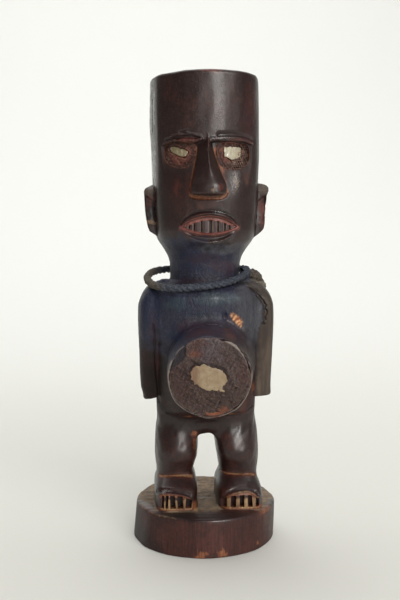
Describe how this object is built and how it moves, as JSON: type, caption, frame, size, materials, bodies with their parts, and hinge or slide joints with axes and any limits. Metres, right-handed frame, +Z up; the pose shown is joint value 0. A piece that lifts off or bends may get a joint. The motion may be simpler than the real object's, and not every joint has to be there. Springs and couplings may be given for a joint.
{
  "type": "carved power figure",
  "caption": "Standing figure carved from one block of wood on a round base, with a tall flat-topped head, inlaid eyes, a capped belly drum and a loose neck cord.",
  "frame": {"origin": "on the underside of the round base, below the middle of its top", "axes": "+Z up through the figure, -Y the way it faces, +X towards its left side"},
  "size_m": [0.0873, 0.0992, 0.28],
  "materials": {
    "wood": "dark oiled patina, worn reddish on edges, blue-grey crust on chest and neck",
    "resin": "dark granular resin crust",
    "eye_paste": "dull reddish paste",
    "inlay": "pale opaque slip, polished, ragged at the rim",
    "cord": "twisted plant fibre stiff with dark crust"
  },
  "bodies": {
    "root": {"carved_figure": "wood", "belly_resin": "resin", "right_eye_resin": "eye_paste", "left_eye_resin": "eye_paste", "belly_inlay": "inlay", "right_eye_inlay": "inlay", "left_eye_inlay": "inlay", "neck_cord": "cord", "cord_knot": "cord"}
  },
  "joints": []
}
